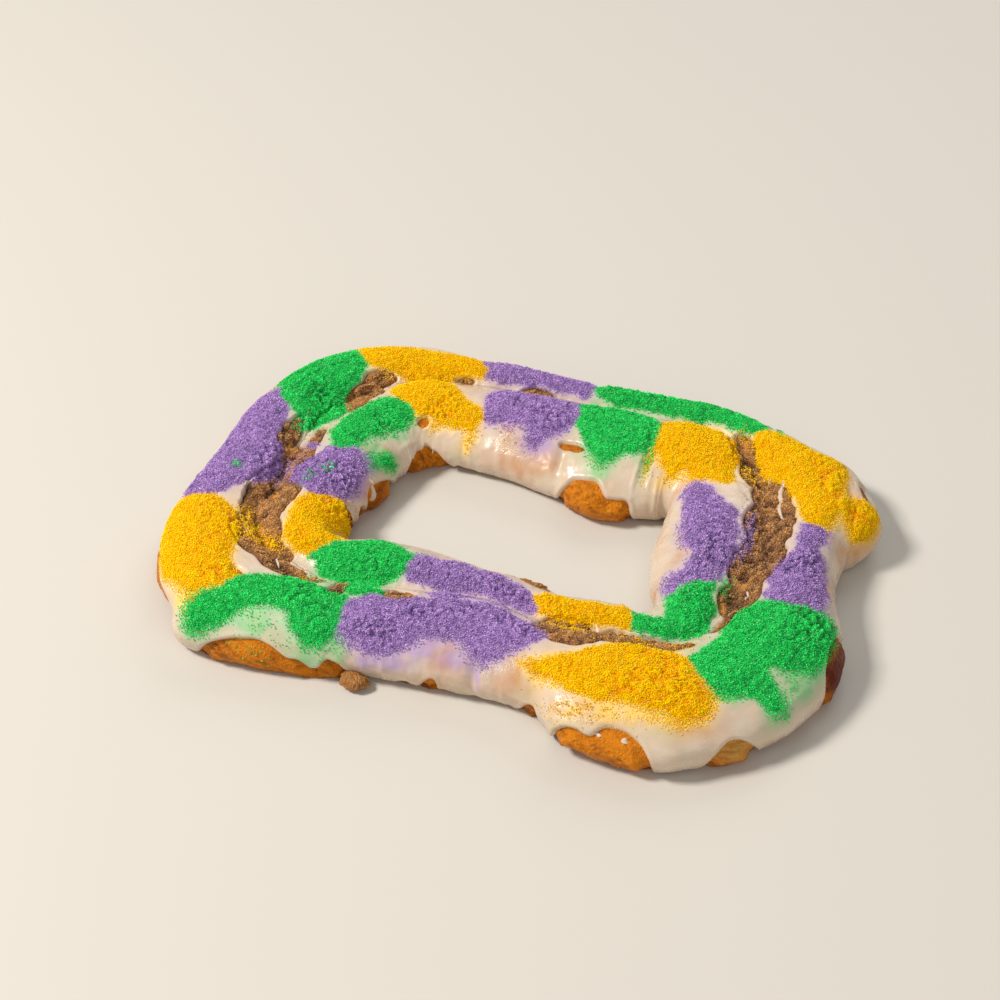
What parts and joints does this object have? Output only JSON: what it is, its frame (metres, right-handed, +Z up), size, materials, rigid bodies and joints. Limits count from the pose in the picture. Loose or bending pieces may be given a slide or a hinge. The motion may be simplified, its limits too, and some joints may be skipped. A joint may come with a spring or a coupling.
{
  "type": "king cake",
  "caption": "Oblong ring of sweet dough strands with cinnamon filling in the groove, white icing over the top and patches of purple, green and gold sugar.",
  "frame": {"origin": "centre of the underside of the cake's box, on the surface it stands on", "axes": "+X along the long side, to the right as seen from the near side; +Y from the near side to the back; +Z up"},
  "size_m": [0.4746, 0.3603, 0.0442],
  "materials": {
    "crust": "baked golden-brown crust, satin",
    "cinnamon": "grainy baked cinnamon sugar",
    "icing": "poured white sugar icing, soft gloss, thin enough in places for the crust to tint it",
    "sugar_purple": "loose coarse coloured sugar",
    "sugar_green": "loose coarse coloured sugar",
    "sugar_gold": "loose coarse coloured sugar"
  },
  "bodies": {
    "root": {"cinnamon_filling": "cinnamon", "cinnamon_lump_foot": "cinnamon", "cinnamon_lump_top": "cinnamon", "dough": "crust", "icing": "icing", "sugar_inner_01_purple": "sugar_purple", "sugar_inner_02_gold": "sugar_gold", "sugar_inner_03_green": "sugar_green", "sugar_inner_04_purple": "sugar_purple", "sugar_inner_05_gold": "sugar_gold", "sugar_inner_06_green": "sugar_green", "sugar_inner_07_purple": "sugar_purple", "sugar_inner_08_gold": "sugar_gold", "sugar_inner_09_green": "sugar_green", "sugar_inner_10_purple": "sugar_purple", "sugar_inner_11_gold": "sugar_gold", "sugar_inner_12_green": "sugar_green", "sugar_outer_01_purple": "sugar_purple", "sugar_outer_02_gold": "sugar_gold", "sugar_outer_03_green": "sugar_green", "sugar_outer_04_purple": "sugar_purple", "sugar_outer_05_gold": "sugar_gold", "sugar_outer_06_gold": "sugar_gold", "sugar_outer_07_green": "sugar_green", "sugar_outer_08_purple": "sugar_purple", "sugar_outer_09_gold": "sugar_gold", "sugar_outer_10_green": "sugar_green", "sugar_outer_11_purple": "sugar_purple", "sugar_outer_12_gold": "sugar_gold", "sugar_outer_13_green": "sugar_green"}
  },
  "joints": []
}
